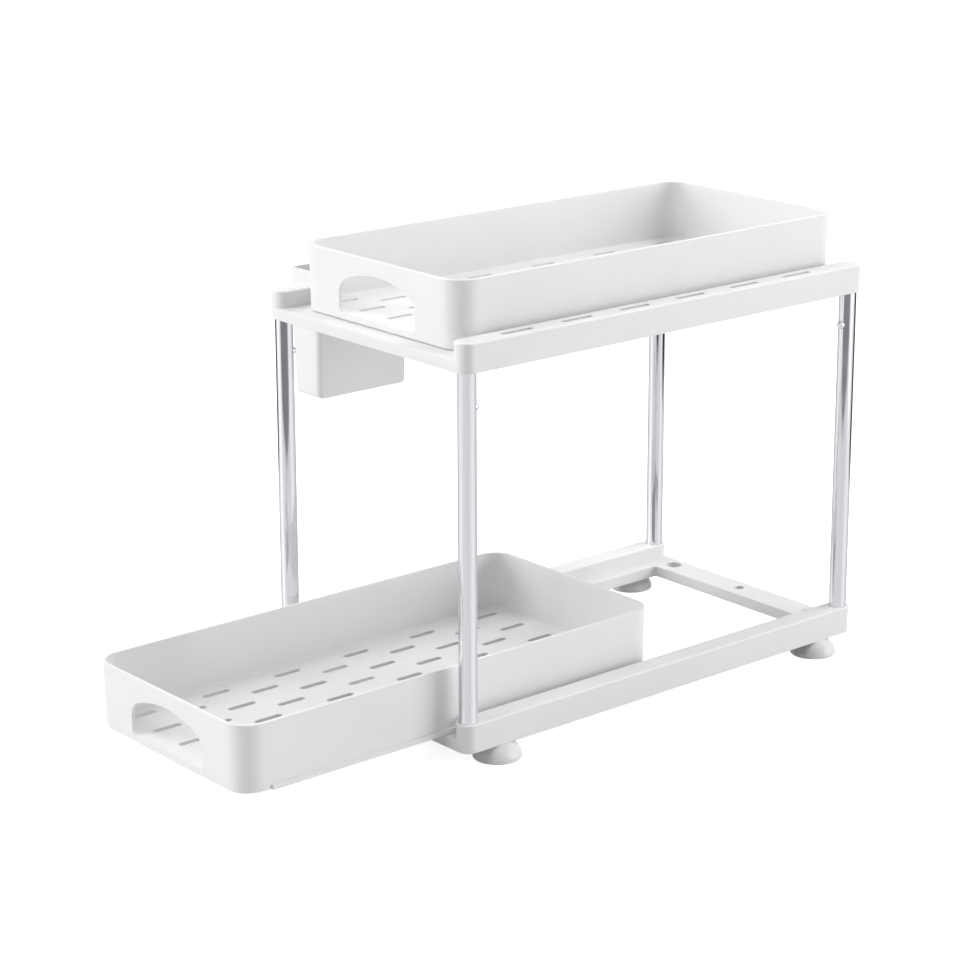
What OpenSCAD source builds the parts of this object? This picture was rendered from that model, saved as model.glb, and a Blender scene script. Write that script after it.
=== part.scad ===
// Under-sink organizer: two moulded frames on telescopic chrome posts,
// a pull-out drawer, an identical upper tray and a hook-on side bin.
// All sizes in millimetres. X is the width, -Y the drawer side, Z is up,
// and the origin is the floor point below the middle of the base frame.

/* [Overall] */
// Outside width of both frames across the side rails
frame_w = 220; // [216:1:260]
// Outside depth of both frames
frame_d = 385; // [380:1:440]
// Height of the upper tray's rim above the floor, lowest setting
overall_h = 335; // [325:1:360]
// Gap left under a sliding or lifting piece
slide_gap = 0.3; // [0.2:0.05:0.6]

/* [Frames] */
// Width of a side rail
rail_w = 17; // [15.5:0.5:19]
// Height of a side rail
rail_h = 20.5; // [17:0.5:26]
// Height of the ring that carries the trays
ledge_t = 8.5; // [6:0.5:12]
// Width of the ledge inside each rail
ledge_w = 11; // [8:0.5:13]
// Depth of the front and rear cross bars
bar_w = 24.8; // [20:0.2:30]
// Corner radius of the opening in the ring
opening_r = 3; // [1:0.5:6]
// Rounding of the frames' upper edges
edge_r = 1; // [0.5:0.1:1.4]
// Wall of the frame mouldings, which are hollow underneath
mould_t = 2.2; // [1.6:0.1:2.6]
// Thickness of the stiffening ribs
rib_t = 1.8; // [1.2:0.1:2.4]
// Number of pockets under each cross bar
bar_pockets = 5; // [3:1:8]
// Material left below a base socket and above a shelf socket
socket_floor = 2.5; // [1.5:0.25:4]

/* [Rear bar holes] */
// Diameter of the two outer holes in the base's rear bar
fix_hole_d = 12.5; // [8:0.5:14]
// Distance of an outer hole from the middle
fix_hole_x = 74.7; // [60:0.1:78]
// Diameter of the middle hole
mid_hole_d = 8; // [5:0.5:12]
// Distance of the hole centres from the rear face
fix_hole_back = 11.5; // [10.5:0.5:14]
// Collar wall round each hole on the underside
hole_collar = 2; // [1.2:0.1:2.5]

/* [Posts] */
// Outside diameter of the lower chrome tube
outer_od = 13; // [12.6:0.1:13.4]
// Wall of both tubes
tube_t = 0.8; // [0.6:0.1:1]
// Radial running fit of the inner tube in the outer tube
tube_fit = 0.05; // [0.02:0.01:0.1]
// Radial fit of a tube in its moulded socket
socket_fit = 0.05; // [0.02:0.01:0.1]
// Height of one step of the shelf
step_h = 52.5; // [40:0.5:55]
// Number of height settings
settings = 3; // [2:1:3]
// Depth of the lock hole below the shelf's underside
lock_drop = 25.2; // [18:0.2:40]
// Inner tube left below its lowest button
tube_tail = 20; // [18:1:30]

/* [Snap buttons] */
// Diameter of a button
button_d = 6; // [4:0.2:6.4]
// Radial clearance of a button in its holes
button_fit = 0.1; // [0.05:0.01:0.2]
// How far a button stands out of the lower tube
button_out = 3; // [1.5:0.1:3.4]
// Thickness of the spring strip
strip_t = 0.6; // [0.3:0.1:0.8]
// Width of the spring strip
strip_w = 4; // [3:0.2:4.4]
// Length of the straight legs of the spring strip
strip_l = 16; // [12:1:17]
// Gap between the strip and the tube wall
strip_gap = 0.2; // [0.15:0.05:0.4]
// Height of strip above the button's centre
strip_head = 4.5; // [3.5:0.5:6]

/* [Shelf slots] */
// Number of slots in each shelf rail
slot_n = 6; // [4:1:6]
// Distance between slot centres
slot_pitch = 53.6; // [48:0.1:55]
// Length of a slot
slot_l = 28; // [20:0.5:36]
// Width of a slot
slot_w = 4; // [3:0.25:5]
// Distance of the slot row's middle in front of the frame's middle
slot_shift = 6.4; // [0:0.1:10]

/* [Drawer and tray] */
// Length over the rim
tray_l = 366; // [340:1:368]
// Clearance between a side runner and the rail beside it
tray_side_gap = 4.5; // [1.5:0.1:6]
// Height of the tray
tray_h = 48; // [40:1:60]
// Lean of each wall between bottom and rim
tray_lean = 1; // [0:0.25:3]
// Corner radius at the bottom
tray_r = 16.5; // [12:0.5:24]
// Wall thickness
wall_t = 2.3; // [1.8:0.1:3]
// Floor thickness
floor_t = 2.3; // [1.6:0.1:2.5]
// Height of the floor's underside above the bottom rim
floor_up = 1.5; // [1:0.1:3]
// Rounding of the lower outside edge
foot_r = 0.9; // [0.5:0.1:2]
// Rounding between wall and floor
inner_r = 1.2; // [0.6:0.1:3]
// Rounding of the rim
lip_r = 0.6; // [0.3:0.1:0.9]
// Width of the band below the walls that stands on the ledge
rest_w = 3.8; // [3:0.1:6]
// Outward reach of the side runners past the bottom edge
runner_w = 2; // [1.5:0.1:5]
// Height of the side runners
runner_h = 3.4; // [2.5:0.1:5]
// Distance from the front rim to the start of the runners
runner_start = 24; // [20:1:60]
// Front rim of the closed drawer behind the frame's front face
front_inset = 12.5; // [9:0.5:14]
// How far the drawer stands pulled out
drawer_out = 182; // [0:1:182]

/* [Grip opening] */
// Width of the finger opening
grip_w = 84; // [60:1:96]
// Lower edge above the tray's bottom
grip_low = 5; // [4.5:0.5:8]
// Top of the opening above the tray's bottom
grip_top = 36.5; // [32:0.5:38]
// Radius of the arched top
grip_arch_r = 88; // [64:1:120]
// Radius of the shoulders
grip_shoulder_r = 12; // [4:0.5:14]
// Radius of the lower corners
grip_corner_r = 5; // [2:0.5:8]

/* [Drain slots] */
// Number of rows across the floor
drain_rows = 10; // [4:2:10]
// Bottom edge to the middle of the outermost row
drain_margin = 15.9; // [14:0.1:24]
// Slots in the longer rows
drain_n = 6; // [3:1:6]
// Rim to the middle of the first slot in the longer rows
drain_end = 27.2; // [25:0.1:40]
// Length of a slot
drain_l = 23; // [12:0.5:26]
// Width of a slot
drain_w = 4.8; // [2:0.1:6]

/* [Suction feet] */
// Height of a foot below the base
foot_h = 11.5; // [9:0.5:16]
// Radius of the foot's rim
foot_rim_r = 17.2; // [12:0.2:18]
// Radius where the bell meets the base
foot_top_r = 8.5; // [7:0.1:8.5]
// Roundness of the bell, from 1 for a quarter ellipse to 2 for a cone
bell_curve = 1.2; // [1:0.1:2]
// Thickness of the bell
foot_skin = 2; // [1.4:0.1:2.6]
// Distance of the foot's centre from the post's centre
foot_back = 26; // [23:1:40]
// Radius of the neck
neck_r = 3.2; // [2.5:0.1:3.6]
// Height of the neck
neck_h = 3; // [2:0.25:4]
// Radius of the barbed head
barb_r = 4.1; // [3.8:0.1:4.4]
// Height of the barbed head
barb_h = 3.5; // [2:0.25:5]
// Radial clearance of neck and head in the base
neck_fit = 0.05; // [0.02:0.01:0.1]

/* [Side bin] */
// Length of the bin along the rail
bin_l = 81.4; // [76:0.2:110]
// Depth of the bin's mouth away from the rail
bin_top_d = 34.4; // [26:0.2:50]
// Depth of the bin at its bottom
bin_low_d = 27; // [20:0.2:40]
// Rim of the bin above the shelf's rail
bin_up = 4; // [3:0.25:10]
// Height of the bin
bin_h = 93.5; // [70:0.5:120]
// Wall of the bin
bin_t = 2; // [1.4:0.1:2.5]
// Radius of the upright corners
bin_r = 4.5; // [3:0.5:8]
// Radius of the lower front corner
bin_front_r = 3; // [2.5:0.5:12]
// Radius of the lower rear corner
bin_rear_r = 6; // [4:0.5:20]
// Distance from the frame's front face to the bin
bin_front = 45.5; // [45:0.5:47]
// Clearance between the bin and the rail
bin_gap = 0.5; // [0.3:0.05:1]
// Width of each hook
hook_w = 12; // [8:0.5:14]
// Thickness of each hook
hook_t = 2; // [1.5:0.1:2.4]
// Depth of the hook inside the rail's slot
hook_drop = 9; // [5:0.5:14]

/* [Hidden] */
$fn = 48;
over = 1;
arc_n = 4;

post_r = rail_w / 2;
post_x = frame_w / 2 - post_r;
post_y = frame_d / 2 - post_r;
rail_in = frame_w / 2 - rail_w;
opening_w = 2 * (rail_in - ledge_w);
opening_d = frame_d - 2 * bar_w;

base_z = foot_h;
ledge_z = base_z + ledge_t;
shelf_z = overall_h - tray_h - slide_gap - ledge_t;
rail_top = shelf_z + rail_h;

outer_id = outer_od - 2 * tube_t;
inner_od = outer_id - 2 * tube_fit;
inner_id = inner_od - 2 * tube_t;
outer_z0 = base_z + socket_floor;
outer_z1 = shelf_z - slide_gap;
lock_z = shelf_z - lock_drop;
inner_z0 = lock_z - (settings - 1) * step_h - tube_tail;
inner_z1 = shelf_z + rail_h - socket_floor;
button_hole_d = button_d + 2 * button_fit;

strip_x = sqrt(pow(inner_id / 2 - strip_gap, 2) - pow(strip_w / 2, 2));
button_tip = outer_od / 2 + button_out;
press_in = button_tip - inner_od / 2;

slot_first = -slot_shift - (slot_n - 1) / 2 * slot_pitch;

low_w = 2 * (rail_in - tray_side_gap - runner_w);
tray_w = low_w + 2 * tray_lean;
low_l = tray_l - 2 * tray_lean;
drain_row_pitch = (low_w - 2 * drain_margin) / (drain_rows - 1);
drain_pitch = (tray_l - 2 * drain_end) / (max(drain_n, 2) - 1);
floor_top = floor_up + floor_t;
closed_y = -frame_d / 2 + front_inset + tray_l / 2;

foot_y = post_y - foot_back;
foot_boss_r = barb_r + neck_fit + mould_t;

bin_rim = rail_top + bin_up;
bin_y0 = -frame_d / 2 + bin_front;
bin_x = -frame_w / 2 - bin_gap;

function arc(cx, cy, r, a0, a1, n) =
    [for (i = [0:n]) let (a = a0 + (a1 - a0) * i / n) [cx + r * cos(a), cy + r * sin(a)]];

function lean_x(z) = tray_r + tray_lean * z / tray_h;

module rounded_rect(w, d, r) {
    square([w - 2 * r, d], center = true);
    square([w, d - 2 * r], center = true);
    for (sx = [-1, 1], sy = [-1, 1]) {
        translate([sx * (w / 2 - r), sy * (d / 2 - r)]) circle(r = r);
    }
}

// Frame mouldings

module rail_half_section() {
    polygon(concat(
        [[0, 0], [post_r, 0]],
        arc(post_r - edge_r, rail_h - edge_r, edge_r, 0, 90, arc_n),
        [[0, rail_h]]
    ));
}

module rail() {
    rotate([90, 0, 0]) linear_extrude(2 * post_y, center = true) {
        rail_half_section();
        mirror([1, 0]) rail_half_section();
    }
    for (sy = [-1, 1]) {
        translate([0, sy * post_y, 0]) rotate_extrude() rail_half_section();
    }
}

module bar_section() {
    polygon(concat(
        [[0, 0], [bar_w, 0]],
        arc(bar_w - edge_r, ledge_t - edge_r, edge_r, 0, 90, arc_n),
        [[0, ledge_t]]
    ));
}

module cross_bar() {
    translate([0, frame_d / 2 - bar_w, 0])
        rotate([90, 0, 90]) linear_extrude(2 * post_x, center = true) bar_section();
}

module frame_blank() {
    for (sx = [-1, 1]) {
        translate([sx * post_x, 0, 0]) rail();
    }
    difference() {
        union() {
            cross_bar();
            mirror([0, 1, 0]) cross_bar();
            linear_extrude(ledge_t)
                square([2 * post_x, frame_d - 2 * bar_w + 2 * opening_r + over], center = true);
        }
        translate([0, 0, -over]) linear_extrude(ledge_t + 2 * over)
            rounded_rect(opening_w, opening_d, opening_r);
    }
}

// Pockets open from below, closed by the top skin and the ribs

module rail_pockets() {
    pocket = slot_pitch - rib_t;
    for (sx = [-1, 1], i = [0:slot_n - 1]) {
        translate([sx * post_x, slot_first + i * slot_pitch, (rail_h - mould_t) / 2 - over / 2])
            cube([rail_w - 2 * mould_t, pocket, rail_h - mould_t + over], center = true);
    }
}

module ledge_pockets() {
    pocket = slot_pitch - rib_t;
    width = ledge_w - mould_t;
    for (sx = [-1, 1], i = [0:slot_n - 1]) {
        translate([
            sx * (rail_in - width / 2),
            slot_first + i * slot_pitch,
            (ledge_t - mould_t) / 2 - over / 2
        ])
            cube([width, pocket, ledge_t - mould_t + over], center = true);
    }
}

module bar_pocket_row() {
    cell = opening_w / bar_pockets;
    for (i = [0:bar_pockets - 1]) {
        translate([
            -opening_w / 2 + (i + 0.5) * cell,
            frame_d / 2 - bar_w / 2,
            (ledge_t - mould_t) / 2 - over / 2
        ])
            cube([cell - rib_t, bar_w - 2 * mould_t, ledge_t - mould_t + over], center = true);
    }
}

module hollow_frame() {
    difference() {
        frame_blank();
        rail_pockets();
        ledge_pockets();
        bar_pocket_row();
        mirror([0, 1, 0]) bar_pocket_row();
    }
}

module at_posts() {
    for (sx = [-1, 1], sy = [-1, 1]) {
        translate([sx * post_x, sy * post_y, 0]) children();
    }
}

module at_feet() {
    for (sx = [-1, 1], sy = [-1, 1]) {
        translate([sx * post_x, sy * foot_y, 0]) children();
    }
}

module at_rear_holes() {
    for (p = [[-fix_hole_x, fix_hole_d], [0, mid_hole_d], [fix_hole_x, fix_hole_d]]) {
        translate([p[0], frame_d / 2 - fix_hole_back, 0]) cylinder_by(p[1]) children();
    }
}

module cylinder_by(d) {
    $hole = d;
    children();
}

module base_frame() {
    boss_h = neck_h + barb_h + mould_t;
    color([0.95, 0.95, 0.95]) translate([0, 0, base_z]) difference() {
        union() {
            hollow_frame();
            at_feet() cylinder(r = foot_boss_r, h = boss_h);
            at_rear_holes() cylinder(d = $hole + 2 * hole_collar, h = ledge_t - edge_r);
        }
        // Sockets of the lower tubes with a bevelled mouth
        at_posts() {
            translate([0, 0, socket_floor])
                cylinder(d = outer_od + 2 * socket_fit, h = rail_h);
            translate([0, 0, rail_h - edge_r / 2])
                cylinder(
                    r1 = outer_od / 2 + socket_fit,
                    r2 = outer_od / 2 + socket_fit + edge_r,
                    h = edge_r
                );
        }
        // Neck bores and head chambers of the suction feet
        at_feet() {
            translate([0, 0, -over]) cylinder(r = neck_r + neck_fit, h = neck_h + 2 * over);
            translate([0, 0, neck_h]) cylinder(r = barb_r + neck_fit, h = barb_h + neck_fit);
        }
        at_rear_holes() translate([0, 0, -over]) cylinder(d = $hole, h = ledge_t + 2 * over);
    }
}

module slot_cut() {
    run = slot_l - slot_w;
    linear_extrude(mould_t + 2 * over) {
        square([slot_w, run], center = true);
        for (s = [-1, 1]) {
            translate([0, s * run / 2]) circle(d = slot_w);
        }
    }
}

module shelf_frame() {
    color([0.95, 0.95, 0.95]) translate([0, 0, shelf_z]) difference() {
        hollow_frame();
        // Sockets of the inner tubes, open downwards
        at_posts() translate([0, 0, -over])
            cylinder(d = inner_od + 2 * socket_fit, h = rail_h - socket_floor + over);
        // Hook slots through the top of both rails
        for (sx = [-1, 1], i = [0:slot_n - 1]) {
            translate([
                sx * post_x,
                slot_first + i * slot_pitch,
                rail_h - mould_t - over
            ])
                slot_cut();
        }
    }
}

// Posts: the lower tube with its lock hole, the inner tube with one hole per setting

module button_hole(z) {
    translate([0, 0, z]) rotate([0, 90, 0]) cylinder(d = button_hole_d, h = outer_od);
}

module tube(od, id, z0, z1, holes) {
    difference() {
        translate([0, 0, z0]) cylinder(d = od, h = z1 - z0);
        translate([0, 0, z0 - over]) cylinder(d = id, h = z1 - z0 + 2 * over);
        for (z = holes) {
            button_hole(z);
        }
    }
}

// Turns a post so that its button looks along Y towards the middle
module post_at(sx, sy) {
    translate([sx * post_x, sy * post_y, 0]) rotate([0, 0, -sy * 90]) children();
}

module post_outer(sx, sy) {
    color([0.78, 0.79, 0.81]) post_at(sx, sy)
        tube(outer_od, outer_id, outer_z0, outer_z1, [lock_z]);
}

module post_inner(sx, sy) {
    color([0.72, 0.73, 0.76]) post_at(sx, sy)
        tube(inner_od, inner_id, inner_z0, inner_z1,
            [for (i = [0:settings - 1]) lock_z - i * step_h]);
}

// Bent spring strip with a domed button, squeezed by the given amount

module strip_bend(r) {
    difference() {
        circle(r = r);
        circle(r = r - strip_t);
        translate([-r - over, 0]) square([2 * (r + over), r + over]);
    }
}

module snap_clip(z, squeeze) {
    near = strip_x - squeeze;
    r = (near + strip_x) / 2;
    leg = strip_l + strip_head;
    translate([0, 0, z]) {
        rotate([90, 0, 0]) linear_extrude(strip_w, center = true) {
            translate([near - strip_t, -strip_l]) square([strip_t, leg]);
            translate([-strip_x, -strip_l]) square([strip_t, leg]);
            translate([near - r, -strip_l]) strip_bend(r);
        }
        rotate([0, 90, 0]) rotate_extrude() button_section(near, button_tip - squeeze);
    }
}

module button_section(from, tip) {
    r = button_d / 2;
    dome = min(r, button_out);
    polygon(concat(
        [[0, from - strip_t / 2], [r, from - strip_t / 2]],
        [for (i = [0:6]) let (a = i * 15) [r * cos(a), tip - dome + dome * sin(a)]]
    ));
}

module clips(sx, sy) {
    color([0.7, 0.71, 0.74]) post_at(sx, sy)
        for (i = [1:settings - 1]) {
            snap_clip(lock_z - i * step_h, press_in + tube_fit);
        }
}

module button(sx, sy) {
    color([0.8, 0.81, 0.83]) post_at(sx, sy) snap_clip(lock_z, 0);
}

// Suction foot: bell, neck and barbed head in one piece of soft plastic

module foot_section() {
    lip = 1;
    rise = foot_h - lip;
    run = foot_rim_r - foot_top_r;
    polygon(concat(
        [[0, foot_h * 0.45]],
        [for (i = [6:-1:0]) let (a = i * 15)
            [(foot_rim_r - foot_skin) * cos(a), foot_h * 0.45 * sin(a)]],
        [[foot_rim_r - lip * 0.3, 0], [foot_rim_r, lip * 0.4], [foot_rim_r, lip]],
        [for (i = [1:6]) let (a = i * 15)
            [foot_top_r + run * pow(cos(a), bell_curve), lip + rise * pow(sin(a), bell_curve)]],
        [[neck_r, foot_h], [neck_r, foot_h + neck_h]],
        [[barb_r, foot_h + neck_h + neck_fit], [barb_r, foot_h + neck_h + barb_h * 0.35]],
        [[barb_r * 0.55, foot_h + neck_h + barb_h - neck_fit]],
        [[0, foot_h + neck_h + barb_h - neck_fit]]
    ));
}

module foot(sx, sy) {
    color([0.88, 0.88, 0.88]) translate([sx * post_x, sy * foot_y, 0])
        rotate_extrude() foot_section();
}

// Drawer and upper tray share one moulding; its origin is the middle of the bottom

module wall_section() {
    polygon(concat(
        [[tray_r - rest_w, 0], [tray_r - foot_r, 0]],
        arc(lean_x(foot_r) - foot_r, foot_r, foot_r, -72, 0, arc_n),
        arc(lean_x(tray_h) - lip_r, tray_h - lip_r, lip_r, 0, 90, arc_n),
        arc(lean_x(tray_h) - wall_t + lip_r, tray_h - lip_r, lip_r, 90, 180, arc_n),
        arc(lean_x(floor_top) - wall_t - inner_r, floor_top + inner_r, inner_r, 0, -90, arc_n),
        [[tray_r - rest_w - inner_r, floor_top], [tray_r - rest_w - inner_r, floor_up]],
        [[tray_r - rest_w, floor_up]]
    ));
}

module tray_walls() {
    cx = low_w / 2 - tray_r;
    cy = low_l / 2 - tray_r;
    for (s = [0, 1]) {
        rotate([0, 0, s * 180]) {
            translate([cx, 0, 0]) rotate([90, 0, 0])
                linear_extrude(2 * cy, center = true) wall_section();
            translate([0, cy, 0]) rotate([90, 0, 90])
                linear_extrude(2 * cx, center = true) wall_section();
            translate([cx, cy, 0]) rotate_extrude(angle = 90) wall_section();
            translate([-cx, cy, 0]) rotate([0, 0, 90]) rotate_extrude(angle = 90) wall_section();
        }
    }
}

module drain_slot() {
    run = drain_l - drain_w;
    square([drain_w, run], center = true);
    for (s = [-1, 1]) {
        translate([0, s * run / 2]) circle(d = drain_w);
    }
}

module drain_slots() {
    for (row = [0:drain_rows - 1]) {
        odd = row % 2;
        count = drain_n - odd;
        for (i = [0:count - 1]) {
            translate([
                (row - (drain_rows - 1) / 2) * drain_row_pitch,
                (i - (count - 1) / 2) * drain_pitch
            ])
                drain_slot();
        }
    }
}

module grip_profile() {
    half = grip_w / 2;
    arch_z = grip_top - grip_arch_r;
    sx = half - grip_shoulder_r;
    sz = arch_z + sqrt(pow(grip_arch_r - grip_shoulder_r, 2) - pow(sx, 2));
    lean = atan2(sz - arch_z, sx);
    cx = half - grip_corner_r;
    polygon(concat(
        arc(cx, grip_low + grip_corner_r, grip_corner_r, -90, 0, 6),
        arc(sx, sz, grip_shoulder_r, 0, lean, 5),
        arc(0, arch_z, grip_arch_r, lean, 180 - lean, 24),
        arc(-sx, sz, grip_shoulder_r, 180 - lean, 180, 5),
        arc(-cx, grip_low + grip_corner_r, grip_corner_r, 180, 270, 6)
    ));
}

module tray_moulding() {
    runner_y0 = -tray_l / 2 + runner_start;
    runner_l = tray_l / 2 - tray_r / 2 - runner_y0;
    difference() {
        union() {
            tray_walls();
            translate([0, 0, floor_up]) linear_extrude(floor_t)
                rounded_rect(low_w - 2 * rest_w, low_l - 2 * rest_w, tray_r - rest_w);
            for (sx = [-1, 1]) {
                translate([sx * (low_w / 2 + runner_w / 2 - rest_w / 2), runner_y0 + runner_l / 2,
                    runner_h / 2])
                    cube([runner_w + rest_w, runner_l, runner_h], center = true);
            }
        }
        translate([0, 0, floor_up - over]) linear_extrude(floor_t + 2 * over) drain_slots();
        translate([0, -tray_l / 2 + wall_t + tray_lean + over, 0])
            rotate([90, 0, 0]) linear_extrude(wall_t + tray_lean + 2 * over) grip_profile();
    }
}

module drawer() {
    color([0.96, 0.96, 0.96])
        translate([0, closed_y - drawer_out, ledge_z + slide_gap]) tray_moulding();
}

module upper_tray() {
    color([0.96, 0.96, 0.96])
        translate([0, closed_y, shelf_z + ledge_t + slide_gap]) tray_moulding();
}

// Side bin: a narrow pocket with a leaning outer wall and two hooks over the rail

module bin_plan(inset) {
    d = bin_top_d - 2 * inset;
    l = bin_l - 2 * inset;
    translate([-bin_top_d / 2, bin_l / 2]) rounded_rect(d, l, bin_r - inset);
}

// Outline seen from the front: x is the reach away from the rail, y the height
module bin_face(inset) {
    slope = (bin_top_d - bin_low_d) / bin_h;
    polygon([
        [-inset, inset],
        [-bin_low_d + inset - slope * inset, inset],
        [-bin_top_d + inset - slope * over, bin_h + over],
        [-inset, bin_h + over]
    ]);
}

// Outline seen from the side: x runs backwards, y is the height
module bin_side(inset) {
    fr = bin_front_r - inset;
    rr = bin_rear_r - inset;
    l = bin_l - inset;
    polygon(concat(
        arc(inset + fr, inset + fr, fr, 180, 270, 6),
        arc(l - rr, inset + rr, rr, 270, 360, 10),
        [[l, bin_h + over], [inset, bin_h + over]]
    ));
}

module bin_body(inset, h) {
    intersection() {
        linear_extrude(h) bin_plan(inset);
        translate([0, bin_l + over, 0]) rotate([90, 0, 0])
            linear_extrude(bin_l + 2 * over) bin_face(inset);
        translate([-bin_top_d - over, 0, 0]) rotate([90, 0, 90])
            linear_extrude(bin_top_d + 2 * over) bin_side(inset);
    }
}

module bin_hook() {
    reach = bin_gap + post_r + hook_t / 2;
    lift = bin_h - bin_up + slide_gap;
    translate([-bin_t, -hook_w / 2, lift]) cube([reach + bin_t, hook_w, hook_t]);
    translate([reach - hook_t, -hook_w / 2, lift - hook_drop])
        cube([hook_t, hook_w, hook_drop + hook_t]);
}

module side_bin() {
    color([0.94, 0.94, 0.94]) translate([bin_x, bin_y0, bin_rim - bin_h]) {
        difference() {
            bin_body(0, bin_h);
            bin_body(bin_t, bin_h + over);
        }
        for (s = [-1, 1]) {
            translate([0, bin_l / 2 + s * slot_pitch / 2, 0]) bin_hook();
        }
    }
}

base_frame();
post_outer(-1, -1);  // post_outer_fl
post_outer(1, -1);  // post_outer_fr
post_outer(-1, 1);  // post_outer_rl
post_outer(1, 1);  // post_outer_rr
foot(-1, -1);  // foot_fl
foot(1, -1);  // foot_fr
foot(-1, 1);  // foot_rl
foot(1, 1);  // foot_rr
drawer();
shelf_frame();
post_inner(-1, -1);  // post_inner_fl
post_inner(1, -1);  // post_inner_fr
post_inner(-1, 1);  // post_inner_rl
post_inner(1, 1);  // post_inner_rr
clips(-1, -1);  // clips_fl
clips(1, -1);  // clips_fr
clips(-1, 1);  // clips_rl
clips(1, 1);  // clips_rr
button(-1, -1);  // button_fl
button(1, -1);  // button_fr
button(-1, 1);  // button_rl
button(1, 1);  // button_rr
upper_tray();
side_bin();
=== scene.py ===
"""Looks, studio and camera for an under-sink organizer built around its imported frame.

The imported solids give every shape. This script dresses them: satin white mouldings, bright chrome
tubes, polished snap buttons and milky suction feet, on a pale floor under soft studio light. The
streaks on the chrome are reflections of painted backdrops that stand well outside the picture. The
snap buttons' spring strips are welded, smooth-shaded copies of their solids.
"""

import logging
import math
from dataclasses import dataclass, field
from enum import Enum
from typing import Iterable, Mapping, Sequence

import bpy
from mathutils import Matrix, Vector


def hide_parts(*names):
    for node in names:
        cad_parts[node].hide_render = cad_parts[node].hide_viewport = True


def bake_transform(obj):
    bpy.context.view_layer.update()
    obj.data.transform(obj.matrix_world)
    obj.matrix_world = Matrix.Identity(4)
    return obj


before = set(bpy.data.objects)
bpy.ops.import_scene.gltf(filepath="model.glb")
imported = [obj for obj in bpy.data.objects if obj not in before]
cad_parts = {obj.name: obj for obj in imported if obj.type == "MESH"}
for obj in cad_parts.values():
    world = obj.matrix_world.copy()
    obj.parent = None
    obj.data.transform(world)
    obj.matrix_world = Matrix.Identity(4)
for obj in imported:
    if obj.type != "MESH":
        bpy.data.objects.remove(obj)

log = logging.getLogger("organizer")
Colour = tuple[float, float, float]
Point = tuple[float, float, float]
Socket = bpy.types.NodeSocket
Feed = Socket | float | tuple[float, ...]


class Corner(Enum):
    """The four corners of the rack, seen from the front."""

    FRONT_LEFT = "fl"
    FRONT_RIGHT = "fr"
    REAR_LEFT = "rl"
    REAR_RIGHT = "rr"


# Distance of a post's centre from the rack's middle, to the side and to front or rear, in metres
POST_X = 0.1015
POST_Y = 0.184
POST_SIDES = {
    Corner.FRONT_LEFT: (-1, -1),
    Corner.FRONT_RIGHT: (1, -1),
    Corner.REAR_LEFT: (-1, 1),
    Corner.REAR_RIGHT: (1, 1),
}

# Where the camera stands, in metres
PHOTO_PLACE = (1.43717, -1.29572, 0.72655)

# The middle of a noise texture's range, which holds most of its values
NOISE_LOW = 0.35
NOISE_HIGH = 0.65


def opaque(colour: Colour) -> tuple[float, float, float, float]:
    """Return a colour with full alpha."""
    return (*colour, 1.0)


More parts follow.
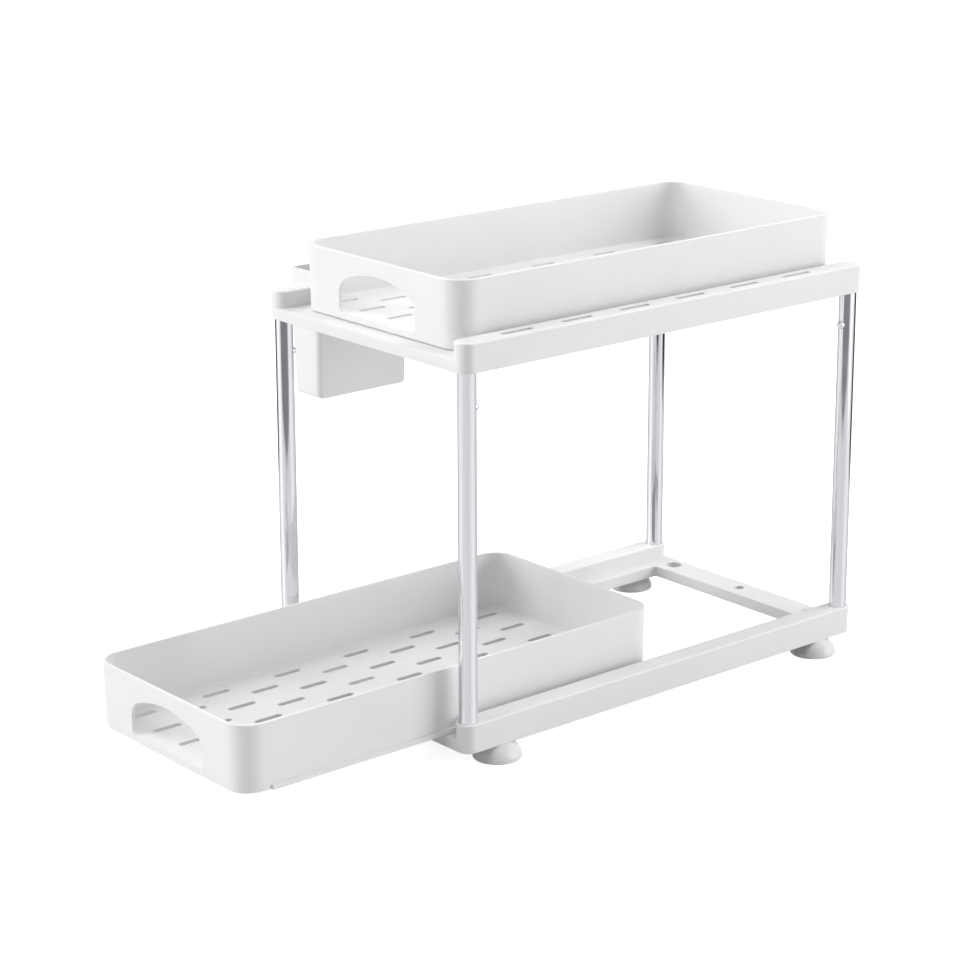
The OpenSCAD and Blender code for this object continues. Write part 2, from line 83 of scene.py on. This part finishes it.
class NodeTree:
    """Short calls for making and joining the nodes of a material or of the world."""

    def __init__(self, owner: bpy.types.Material | bpy.types.World) -> None:
        """Start from an empty tree.

        Args:
            owner: the material or world that the nodes belong to.
        """
        owner.use_nodes = True
        self.tree = owner.node_tree
        self.tree.nodes.clear()

    def add(
        self, kind: str, feeds: Mapping[str | int, Feed] | None = None, **attributes: object
    ) -> bpy.types.Node:
        """Add one node.

        Args:
            kind: Blender's node type, without its ShaderNode prefix.
            feeds: the socket or value for each input, by the input's name or number.
            attributes: attributes of the node, set as given.

        Returns:
            The new node.
        """
        node = self.tree.nodes.new("ShaderNode" + kind)
        for name, value in attributes.items():
            setattr(node, name, value)
        for slot, value in (feeds or {}).items():
            if isinstance(value, Socket):
                self.tree.links.new(value, node.inputs[slot])
            else:
                node.inputs[slot].default_value = value
        return node

    def calc(self, operation: str, *values: Socket | float, clamp: bool = False) -> Socket:
        """Add one Math node.

        Args:
            operation: what it works out.
            values: its inputs, sockets or numbers.
            clamp: whether the result stays within 0 and 1.

        Returns:
            The socket of the result.
        """
        feeds = dict(enumerate(values))
        return self.add("Math", feeds, operation=operation, use_clamp=clamp).outputs[0]

    def place(self) -> Socket:
        """Return the socket of the piece's own coordinates."""
        return self.add("TexCoord").outputs["Object"]

    def noise(self, source: Socket, scale: float, detail: float) -> Socket:
        """Add a noise texture.

        Args:
            source: the coordinates that the noise reads.
            scale: waves per metre.
            detail: octaves.

        Returns:
            The socket of the noise value.
        """
        feeds = {"Vector": source, "Scale": scale, "Detail": detail}
        return self.add("TexNoise", feeds).outputs["Fac"]

    def spread(self, source: Socket, low: float = 0.0, high: float = 1.0) -> Socket:
        """Map a noise value to a range.

        Args:
            source: the noise value.
            low: result for a low value.
            high: result for a high value.

        Returns:
            The mapped value's socket.
        """
        ends = {"From Min": NOISE_LOW, "From Max": NOISE_HIGH, "To Min": low, "To Max": high}
        return self.add("MapRange", {"Value": source, **ends}).outputs["Result"]

    def blend(self, factor: Socket, first: Feed, second: Feed) -> Socket:
        """Mix two colours.

        Args:
            factor: how much of the second colour shows.
            first: colour at factor 0, a socket or a linear colour with alpha.
            second: colour at factor 1, a socket or a linear colour with alpha.

        Returns:
            The mixed colour's socket.
        """
        feeds = {"Factor": factor, "A": first, "B": second}
        return self.add("Mix", feeds, data_type="RGBA").outputs["Result"]

    def bump(self, height: Socket, strength: float, distance: float, **below: Socket) -> Socket:
        """Add a bump.

        Args:
            height: the pattern that is raised.
            strength: share of the bump that shows.
            distance: height of the pattern in metres.
            below: the normal that the bump lies on, given as Normal, if not the plain one.

        Returns:
            The socket of the bumped normal.
        """
        feeds = {"Height": height, "Strength": strength, "Distance": distance, **below}
        return self.add("Bump", feeds).outputs["Normal"]

    def seen(self) -> Socket:
        """Tell the rays that look at a surface from those that light something.

        Returns:
            A socket that is 1 for camera, glossy and transmission rays, and 0 for all others.
        """
        rays = self.add("LightPath").outputs
        direct = self.calc("MAXIMUM", rays["Is Camera Ray"], rays["Is Glossy Ray"])
        return self.calc("MAXIMUM", direct, rays["Is Transmission Ray"])

    def finish(self, surface: Socket, kind: str = "OutputMaterial") -> None:
        """Join the last shader to a new output node of the given kind."""
        self.add(kind, {"Surface": surface})


def new_material(name: str) -> tuple[bpy.types.Material, NodeTree]:
    """Return a new material of that name and its empty node tree."""
    material = bpy.data.materials.new(name)
    return material, NodeTree(material)


@dataclass(frozen=True)
class MouldedPlastic:
    """Satin injection-moulded plastic: fine grain, faint flow clouds, softened edges.

    Attributes:
        name: the material's name.
        light: linear colour of the pale clouds.
        dark: linear colour of the dim clouds.
        gloss_low: lowest roughness.
        gloss_high: highest roughness.
        ior: index of refraction.
        flow_scale: flow clouds per metre.
        patch_scale: patches of other gloss per metre.
        grain_scale: grains per metre.
        grain: height of the fine grain in metres.
        grain_shows: share of the grain that shows.
        edge: radius of the softened edges in metres.
        edge_samples: rays that soften an edge.
    """

    name: str
    light: Colour
    dark: Colour
    gloss_low: float = 0.34
    gloss_high: float = 0.46
    ior: float = 1.49
    flow_scale: float = 14.0
    patch_scale: float = 60.0
    grain_scale: float = 1900.0
    grain: float = 0.000012
    grain_shows: float = 0.5
    edge: float = 0.0005
    edge_samples: int = 6

    def build(self) -> bpy.types.Material:
        """Make the finish.

        Returns:
            The finished material.
        """
        material, nodes = new_material(self.name)
        place = nodes.place()
        flow = nodes.noise(place, self.flow_scale, detail=3.0)
        patch = nodes.noise(place, self.patch_scale, detail=4.0)
        fine = nodes.noise(place, self.grain_scale, detail=2.0)
        soft = nodes.add("Bevel", {"Radius": self.edge}, samples=self.edge_samples)
        smooth = soft.outputs["Normal"]
        feeds = {
            "Base Color": nodes.blend(nodes.spread(flow), opaque(self.light), opaque(self.dark)),
            "Roughness": nodes.spread(patch, self.gloss_low, self.gloss_high),
            "IOR": self.ior,
            "Normal": nodes.bump(fine, self.grain_shows, self.grain, Normal=smooth),
        }
        nodes.finish(nodes.add("BsdfPrincipled", feeds).outputs["BSDF"])
        return material


@dataclass(frozen=True)
class BrightMetal:
    """Plated or polished metal with faint drawing lines and small clouds in its gloss.

    Attributes:
        name: the material's name.
        tint: linear colour of the metal.
        shade: linear colour in its dimmer streaks.
        gloss_low: lowest roughness.
        gloss_high: highest roughness.
        stretch: scale of the streaks along Z, small for long ones and 1 for plain clouds.
        streak_scale: streaks per metre.
        streak: height of the streaks in metres.
        streak_shows: share of the streaks' height that shows.
        cloud_scale: clouds in the gloss per metre.
    """

    name: str
    tint: Colour
    shade: Colour
    gloss_low: float = 0.04
    gloss_high: float = 0.1
    stretch: float = 0.02
    streak_scale: float = 900.0
    streak: float = 0.000004
    streak_shows: float = 0.15
    cloud_scale: float = 45.0

    def build(self) -> bpy.types.Material:
        """Make the finish.

        Returns:
            The finished material.
        """
        material, nodes = new_material(self.name)
        place = nodes.place()
        drawn = nodes.add("Mapping", {"Vector": place, "Scale": (1.0, 1.0, self.stretch)})
        lines = nodes.noise(drawn.outputs["Vector"], self.streak_scale, detail=2.0)
        cloud = nodes.noise(place, self.cloud_scale, detail=3.0)
        feeds = {
            "Base Color": nodes.blend(nodes.spread(lines), opaque(self.tint), opaque(self.shade)),
            "Roughness": nodes.spread(cloud, self.gloss_low, self.gloss_high),
            "Metallic": 1.0,
            "Normal": nodes.bump(lines, self.streak_shows, self.streak),
        }
        nodes.finish(nodes.add("BsdfPrincipled", feeds).outputs["BSDF"])
        return material


@dataclass(frozen=True)
class MilkySoftPlastic:
    """Soft translucent plastic of the suction feet.

    Attributes:
        name: the material's name.
        light: linear colour of the pale clouds.
        dark: linear colour of the dim clouds.
        gloss_low: lowest roughness.
        gloss_high: highest roughness.
        ior: index of refraction.
        milk: share of the light that scatters inside.
        reach: how far that light goes, as a share of the shader's own 5 cm.
        cloud_scale: clouds per metre.
        grain_scale: grains per metre.
        grain: height of the grain in metres.
        grain_shows: share of the grain that shows.
    """

    name: str
    light: Colour
    dark: Colour
    gloss_low: float = 0.40
    gloss_high: float = 0.50
    ior: float = 1.45
    milk: float = 0.25
    reach: float = 0.004
    cloud_scale: float = 120.0
    grain_scale: float = 900.0
    grain: float = 0.00001
    grain_shows: float = 0.3

    def build(self) -> bpy.types.Material:
        """Make the finish.

        Returns:
            The finished material.
        """
        material, nodes = new_material(self.name)
        place = nodes.place()
        cloud = nodes.noise(place, self.cloud_scale, detail=3.0)
        fine = nodes.noise(place, self.grain_scale, detail=2.0)
        feeds = {
            "Base Color": nodes.blend(nodes.spread(cloud), opaque(self.light), opaque(self.dark)),
            "Roughness": nodes.spread(cloud, self.gloss_low, self.gloss_high),
            "IOR": self.ior,
            "Subsurface Weight": self.milk,
            "Subsurface Radius": (self.reach, self.reach, self.reach),
            "Normal": nodes.bump(fine, self.grain_shows, self.grain),
        }
        nodes.finish(nodes.add("BsdfPrincipled", feeds).outputs["BSDF"])
        return material


def dress(node: str, material: bpy.types.Material) -> None:
    """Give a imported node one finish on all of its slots.

    Args:
        node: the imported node's name.
        material: the finish.
    """
    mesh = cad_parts[node].data
    if not mesh.materials:
        mesh.materials.append(material)
    for index in range(len(mesh.materials)):
        mesh.materials[index] = material
    log.info("dressed %s with %s", node, material.name)


@dataclass
class FrameMouldings:
    """The base frame and the shelf frame."""

    finish: MouldedPlastic = MouldedPlastic(
        "frame_white", light=(0.80, 0.80, 0.80), dark=(0.78, 0.78, 0.785)
    )

    def build(self) -> None:
        """Dress both frames."""
        material = self.finish.build()
        for node in ("base_frame", "shelf_frame"):
            dress(node, material)


@dataclass
class Trays:
    """The pull-out drawer and the upper tray, one moulding used twice."""

    finish: MouldedPlastic = MouldedPlastic(
        "tray_white", light=(0.83, 0.83, 0.832), dark=(0.81, 0.81, 0.815)
    )

    def build(self) -> None:
        """Dress both trays."""
        material = self.finish.build()
        for node in ("drawer", "upper_tray"):
            dress(node, material)


@dataclass
class SideBin:
    """The narrow bin hooked over the left shelf rail."""

    finish: MouldedPlastic = MouldedPlastic(
        "bin_white", light=(0.81, 0.81, 0.812), dark=(0.79, 0.79, 0.795)
    )

    def build(self) -> None:
        """Dress the bin."""
        dress("side_bin", self.finish.build())


@dataclass
class Posts:
    """The telescopic posts with their snap buttons, which look towards the rack's middle.

    Attributes:
        chrome: finish of the lower tubes.
        inner: finish of the inner tubes.
        spring: finish of the spring clips, strips and buttons.
        bend_from: distance behind the post's centre up to which a strip stays, in metres; not used.
        bend_to: distance before that centre from which it moves with its button, in metres; not
            used.
        weld: distance within which a strip's loose corners are joined, in metres.
        crease: angle in degrees past which a strip's edge stays sharp.
    """

    chrome: BrightMetal = BrightMetal(
        "post_chrome", tint=(0.81, 0.815, 0.83), shade=(0.77, 0.775, 0.795)
    )
    inner: BrightMetal = BrightMetal(
        "inner_chrome", tint=(0.78, 0.79, 0.81), shade=(0.73, 0.74, 0.77), gloss_high=0.14
    )
    spring: BrightMetal = BrightMetal(
        "snap_steel", tint=(0.74, 0.75, 0.77), shade=(0.68, 0.69, 0.72), stretch=1.0
    )
    bend_from: float = 0.0028
    bend_to: float = 0.0035
    weld: float = 0.00001
    crease: float = 32.0

    def build(self) -> None:
        """Dress tubes, spring clips and buttons."""
        chrome, inner, spring = (f.build() for f in (self.chrome, self.inner, self.spring))
        for corner in Corner:
            dress(f"post_outer_{corner.value}", chrome)
            dress(f"post_inner_{corner.value}", inner)
            dress(f"clips_{corner.value}", spring)
            dress(f"button_{corner.value}", spring)
            self._bend_with_button(corner)

    def _bend_with_button(self, corner: Corner) -> None:
        """Put a welded, smooth-shaded copy of a button's solid in place of the button.

        Args:
            corner: the post.
        """
        button = f"button_{corner.value}"
        bpy.ops.object.select_all(action="DESELECT")
        strip = bpy.data.objects.new(f"snap_{button}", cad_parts[button].data.copy())
        bpy.context.scene.collection.objects.link(strip)
        strip.select_set(True)
        bpy.context.view_layer.objects.active = strip
        bpy.ops.object.mode_set(mode="EDIT")
        bpy.ops.mesh.select_all(action="SELECT")
        bpy.ops.mesh.remove_doubles(threshold=self.weld)
        bpy.ops.object.mode_set(mode="OBJECT")
        bpy.ops.object.shade_smooth_by_angle(angle=math.radians(self.crease))
        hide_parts(button)
        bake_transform(strip)
        log.info("%s bends with %s", strip.name, button)


@dataclass
class SuctionFeet:
    """The four suction feet."""

    finish: MilkySoftPlastic = MilkySoftPlastic(
        "foot_milky", light=(0.76, 0.76, 0.76), dark=(0.69, 0.69, 0.69)
    )

    def build(self) -> None:
        """Dress the feet."""
        material = self.finish.build()
        for corner in Corner:
            dress(f"foot_{corner.value}", material)


@dataclass
class Softbox:
    """One soft rectangular lamp.

    Attributes:
        name: the lamp's name.
        place: its middle in metres.
        target: the point it faces.
        width: its width in metres.
        height: its height in metres.
        power: its power in watts.
    """

    name: str
    place: Point
    target: Point
    width: float
    height: float
    power: float

    def build(self) -> None:
        """Add the lamp."""
        lamp = bpy.data.lights.new(self.name, "AREA")
        lamp.shape = "RECTANGLE"
        lamp.size, lamp.size_y = self.width, self.height
        lamp.energy = self.power
        holder = bpy.data.objects.new(self.name, lamp)
        holder.location = self.place
        aim = Vector(self.target) - Vector(self.place)
        holder.rotation_euler = aim.to_track_quat("-Z", "Y").to_euler()
        bpy.context.scene.collection.objects.link(holder)


@dataclass(frozen=True)
class Panel:
    """One dark or white panel painted on a post's backdrop, with pointed ends.

    Attributes:
        start: azimuth of its first edge in degrees, from the front towards the right.
        end: azimuth of its second edge.
        low: height on the post at which its lower tip is mirrored, in metres.
        high: height on the post at which its upper tip is mirrored.
        tone: linear grey, over 1 for a white panel.
        taper: length of each pointed end, measured on the post.
        soft: width of its soft edges in degrees.
    """

    start: float
    end: float
    low: float
    high: float
    tone: float
    taper: float = 0.03
    soft: float = 4.0

    def mask(self, nodes: NodeTree, turn: Socket, height: Socket) -> Socket:
        """Make the nodes that are 1 inside the panel and 0 outside.

        Args:
            nodes: the backdrop's node tree.
            turn: azimuth in radians.
            height: height as mirrored on the post, in metres.

        Returns:
            The socket of the mask.
        """
        half = math.radians((self.end - self.start) / 2)
        middle = math.radians((self.start + self.end) / 2)
        aside = nodes.calc("WRAP", nodes.calc("SUBTRACT", turn, middle), math.pi, -math.pi)
        aside = nodes.calc("DIVIDE", nodes.calc("ABSOLUTE", aside), half)
        inside = nodes.calc("SUBTRACT", 1.0, aside)
        for way, tip in ((-1.0, self.low + self.taper), (1.0, self.high - self.taper)):
            past = nodes.calc("MULTIPLY", nodes.calc("SUBTRACT", height, tip), way / self.taper)
            past = nodes.calc("MAXIMUM", past, 0.0)
            inside = nodes.calc("SUBTRACT", inside, nodes.calc("MULTIPLY", past, past))
        return nodes.calc("MULTIPLY", inside, half / math.radians(self.soft), clamp=True)


@dataclass
class Backdrop:
    """A round studio backdrop that shows only in glossy pieces, graded in bright and grey panels.

    Attributes:
        name: the backdrop's name.
        mirrors: the pieces that it is lit for.
        centre: its middle on the floor.
        radius: radius of the wall in metres.
        panels: dark and white panels on top of the grading.
        low: height of its lower edge, below the floor because the camera looks down.
        high: height of its upper edge.
        facets: flat faces around the wall.
        front: value of a radial gradient texture towards the front, as a share of a turn.
        wall_blue: blue of the graded wall, as a multiple of its grey.
        blue_limit: the most blue that the graded wall has.
        panel_blue: blue of a panel, as a multiple of its grey.
        grading: azimuth in degrees from the front towards the right, and linear grey.
    """

    name: str
    mirrors: Sequence[bpy.types.Object]
    centre: tuple[float, float] = (0.0, 0.0)
    radius: float = 3.4
    panels: Sequence[Panel] = ()
    low: float = -2.4
    high: float = 0.3
    facets: int = 128
    front: float = 0.25
    wall_blue: float = 1.02
    blue_limit: float = 1.1
    panel_blue: float = 1.03
    grading: Sequence[tuple[float, float]] = (
        (-90.0, 0.55),
        (-68.0, 0.86),
        (-46.0, 1.06),
        (-18.0, 1.0),
        (8.0, 0.84),
        (50.0, 0.79),
        (78.0, 0.80),
        (102.0, 0.96),
        (122.0, 1.04),
        (144.0, 0.94),
        (166.0, 0.72),
        (195.0, 0.55),
    )

    def _graded(self, nodes: NodeTree, place: Socket) -> Socket:
        """Make the ramp of greys that runs around the wall.

        Args:
            nodes: the backdrop's node tree.
            place: object coordinates.

        Returns:
            The socket of the colour.
        """
        turn = nodes.add("TexGradient", {"Vector": place}, gradient_type="RADIAL")
        ramp = nodes.add("ValToRGB", {"Fac": turn.outputs["Color"]})
        ramp.color_ramp.interpolation = "EASE"
        stops = ramp.color_ramp.elements
        while len(stops) > 1:
            stops.remove(stops[-1])
        ordered = sorted(((az / 360.0 + self.front) % 1.0, tone) for az, tone in self.grading)
        for index, (where, tone) in enumerate(ordered):
            stop = stops[0] if index == 0 else stops.new(where)
            stop.position = where
            stop.color = opaque((tone, tone, min(tone * self.wall_blue, self.blue_limit)))
        return ramp.outputs["Color"]

    def _panelled(self, nodes: NodeTree, place: Socket, colour: Socket) -> Socket:
        """Lay the panels over the graded wall, at the heights where a post mirrors them.

        A sight line keeps its slope when an upright post turns it back. From height z on the post
        it falls by (camera's height - z) * radius / camera's distance on its way to the wall, so
        z can be worked out from the height at which it arrives.

        Args:
            nodes: the backdrop's node tree.
            place: object coordinates.
            colour: the graded colour.

        Returns:
            The socket of the final colour.
        """
        axes = nodes.add("SeparateXYZ", {"Vector": place}).outputs
        turn = nodes.calc("ARCTAN2", axes["X"], nodes.calc("MULTIPLY", axes["Y"], -1.0))
        fall = self.radius / math.dist(self.centre, PHOTO_PLACE[:2])
        lift = (self.low + self.high) / 2 + fall * PHOTO_PLACE[2]
        height = nodes.calc("DIVIDE", nodes.calc("ADD", axes["Z"], lift), 1.0 + fall)
        for panel in self.panels:
            tone = opaque((panel.tone, panel.tone, panel.tone * self.panel_blue))
            colour = nodes.blend(panel.mask(nodes, turn, height), colour, tone)
        return colour

    def _paint(self) -> bpy.types.Material:
        """Make the glowing paint, which lets a wall behind it through if it has panels.

        Returns:
            The finished material.
        """
        material, nodes = new_material(self.name)
        place = nodes.place()
        colour = self._panelled(nodes, place, self._graded(nodes, place))
        surface = nodes.add("Emission", {"Color": colour}).outputs["Emission"]
        if self.panels:
            clear = nodes.add("BsdfTransparent").outputs["BSDF"]
            surface = nodes.add("AddShader", {0: surface, 1: clear}).outputs["Shader"]
        nodes.finish(surface)
        material.cycles.emission_sampling = "NONE"
        return material

    def build(self) -> None:
        """Add the wall, which glows for its mirrors alone."""
        bpy.ops.object.select_all(action="DESELECT")
        bpy.ops.mesh.primitive_cylinder_add(
            vertices=self.facets,
            radius=self.radius,
            depth=self.high - self.low,
            end_fill_type="NOTHING",
            location=(*self.centre, (self.high + self.low) / 2),
        )
        wall = bpy.context.active_object
        wall.name = self.name
        wall.data.materials.append(self._paint())
        wall.visible_camera = False
        wall.visible_diffuse = False
        wall.visible_shadow = False
        wall.visible_transmission = False
        lit = bpy.data.collections.new(f"{self.name}_mirrors")
        for piece in self.mirrors:
            lit.objects.link(piece)
        wall.light_linking.receiver_collection = lit
        log.info("%s is lit for %d pieces", self.name, len(self.mirrors))


@dataclass
class Studio:
    """Floor, world, lamps and the backdrops that glossy pieces mirror.

    Attributes:
        floor_size: side of the floor in metres.
        floor_drop: how far it lies below the feet in metres, so that no faces coincide.
        floor_tone: linear grey of the floor under the lamps.
        floor_lift: glow that brings it up to white for the camera.
        ambient: strength of the world as light.
        post_radius: radius of each post's own backdrop in metres.
        lamps: the lamps.
        panels: what is painted on each post's own backdrop.
    """

    floor_size: float = 12.0
    floor_drop: float = 0.0002
    floor_tone: float = 0.72
    floor_lift: float = 0.84
    ambient: float = 0.21
    post_radius: float = 3.0
    lamps: Sequence[Softbox] = field(
        default_factory=lambda: (
            Softbox("key_front_left", (-1.72, -2.46, 0.95), (0.0, -0.1, 0.1), 1.3, 1.8, power=42.0),
            Softbox("side_right_rear", (2.33, 1.89, 0.75), (0.0, 0.0, 0.12), 1.6, 1.6, power=45.5),
            Softbox("top_front", (-0.3, -1.9, 2.6), (0.0, -0.1, 0.1), 1.6, 1.6, power=36.5),
            Softbox("top_rear", (0.8, 1.7, 2.5), (0.0, -0.1, 0.1), 1.6, 1.6, power=38.5),
            Softbox("top_left", (-1.5, 0.2, 2.5), (0.0, -0.1, 0.1), 1.6, 1.6, power=24.0),
        )
    )
    panels: Mapping[Corner, Sequence[Panel]] = field(
        default_factory=lambda: {
            Corner.FRONT_LEFT: (
                Panel(-50.0, -11.0, -0.28, 0.5, tone=1.2, taper=0.2),
                Panel(4.0, 100.0, 0.169, 0.365, tone=0.25, taper=0.06),
                Panel(-107.0, -58.0, 0.15, 0.366, tone=0.1, taper=0.05),
                Panel(160.0, 189.0, 0.225, 0.367, tone=0.42, taper=0.04),
                Panel(17.0, 50.0, 0.08, 0.147, tone=0.42),
                Panel(158.0, 191.0, 0.082, 0.151, tone=0.36),
            ),
            Corner.REAR_RIGHT: (
                Panel(88.0, 126.0, 0.17, 0.386, tone=1.3, taper=0.06),
                Panel(-8.0, 77.0, 0.17, 0.365, tone=0.26, taper=0.065),
                Panel(144.0, 187.0, 0.126, 0.366, tone=0.07, taper=0.04),
                Panel(-47.0, -4.0, 0.032, 0.18, tone=0.4, taper=0.075),
            ),
            Corner.REAR_LEFT: (
                Panel(-52.0, -17.0, -0.28, 0.5, tone=1.2, taper=0.2),
                Panel(-5.0, 61.0, -0.044, 0.181, tone=0.56, taper=0.1),
                Panel(31.0, 74.0, 0.179, 0.287, tone=0.07, taper=0.045),
                Panel(126.0, 177.0, 0.144, 0.287, tone=0.04, taper=0.06),
                Panel(11.0, 55.0, -0.028, 0.12, tone=0.33, taper=0.06),
            ),
            Corner.FRONT_RIGHT: (
                Panel(-130.0, -46.0, -0.08, 0.081, tone=0.3),
                Panel(-109.0, -70.0, 0.157, 0.235, tone=0.5),
            ),
        }
    )

    def _floor(self) -> None:
        """Add the pale floor, white to the camera, still holding the shadow."""
        bpy.ops.object.select_all(action="DESELECT")
        bpy.ops.mesh.primitive_plane_add(
            size=self.floor_size, location=(0.0, 0.0, -self.floor_drop)
        )
        floor = bpy.context.active_object
        floor.name = "studio_floor"
        material, nodes = new_material("studio_floor")
        tone = opaque((self.floor_tone, self.floor_tone, self.floor_tone))
        diffuse = nodes.add("BsdfDiffuse", {"Color": tone}).outputs["BSDF"]
        lift = nodes.add("Emission", {"Strength": self.floor_lift}).outputs["Emission"]
        gate = nodes.add("MixShader", {"Fac": nodes.seen(), 2: lift}).outputs["Shader"]
        nodes.finish(nodes.add("AddShader", {0: diffuse, 1: gate}).outputs["Shader"])
        floor.data.materials.append(material)
        floor.visible_glossy = False

    def _world(self) -> None:
        """Make the world white to the camera and a plain soft grey as light."""
        world = bpy.data.worlds.new("studio")
        bpy.context.scene.world = world
        nodes = NodeTree(world)
        feeds = {"Value": nodes.seen(), "To Min": self.ambient, "To Max": 1.0}
        strength = nodes.add("MapRange", feeds).outputs["Result"]
        sky = nodes.add("Background", {"Color": opaque((1.0, 1.0, 1.0)), "Strength": strength})
        nodes.finish(sky.outputs["Background"], kind="OutputWorld")

    def _backdrops(self) -> None:
        """Add one backdrop for each post's tubes and a plain one for all other pieces."""
        tubes = {
            corner: [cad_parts[f"post_{tube}_{corner.value}"] for tube in ("outer", "inner")]
            for corner in Corner
        }
        apart = {"studio_floor"} | {tube.name for pair in tubes.values() for tube in pair}
        others = [p for p in bpy.data.objects if p.type == "MESH" and p.name not in apart]
        Backdrop("backdrop", others).build()
        for corner, (side, row) in POST_SIDES.items():
            Backdrop(
                name=f"backdrop_{corner.value}",
                mirrors=tubes[corner],
                centre=(side * POST_X, row * POST_Y),
                radius=self.post_radius,
                panels=self.panels[corner],
            ).build()

    def build(self) -> None:
        """Build floor, world, lamps and backdrops, last of all, so that no piece is missed."""
        self._floor()
        self._world()
        for lamp in self.lamps:
            lamp.build()
        self._backdrops()
        bpy.context.scene.view_settings.view_transform = "Standard"
        log.info("studio ready: %d lamps", len(self.lamps))


@dataclass
class PhotoCamera:
    """The camera at the photograph's place.

    Attributes:
        place: its place in metres.
        turn: its turn about the upright in radians.
        tilt: how far it looks down, in radians.
        focal: focal length in millimetres.
        sensor: width of its sensor in millimetres.
        shift: shift of its lens, as shares of the picture's width.
        clip: nearest and farthest distance that it sees, in metres.
    """

    place: Point = PHOTO_PLACE
    turn: float = 0.8613
    tilt: float = 0.2747
    focal: float = 102.43
    sensor: float = 36.0
    shift: tuple[float, float] = (-0.0285, -0.05)
    clip: tuple[float, float] = (0.05, 40.0)

    def build(self) -> None:
        """Add the camera and make it the scene's."""
        lens = bpy.data.cameras.new("photo_camera")
        lens.lens = self.focal
        lens.sensor_width = self.sensor
        lens.shift_x, lens.shift_y = self.shift
        lens.clip_start, lens.clip_end = self.clip
        holder = bpy.data.objects.new("photo_camera", lens)
        holder.location = self.place
        holder.rotation_euler = (math.pi / 2 - self.tilt, 0.0, self.turn)
        bpy.context.scene.collection.objects.link(holder)
        bpy.context.scene.camera = holder


def main() -> None:
    """Build every part of the look in order."""
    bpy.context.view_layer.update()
    PhotoCamera().build()
    for part in (FrameMouldings(), Trays(), SideBin(), Posts(), SuctionFeet(), Studio()):
        part.build()
        log.info("%s done", type(part).__name__)


if __name__ == "__main__":
    logging.basicConfig(level=logging.INFO, format="%(name)s: %(message)s")
    main()
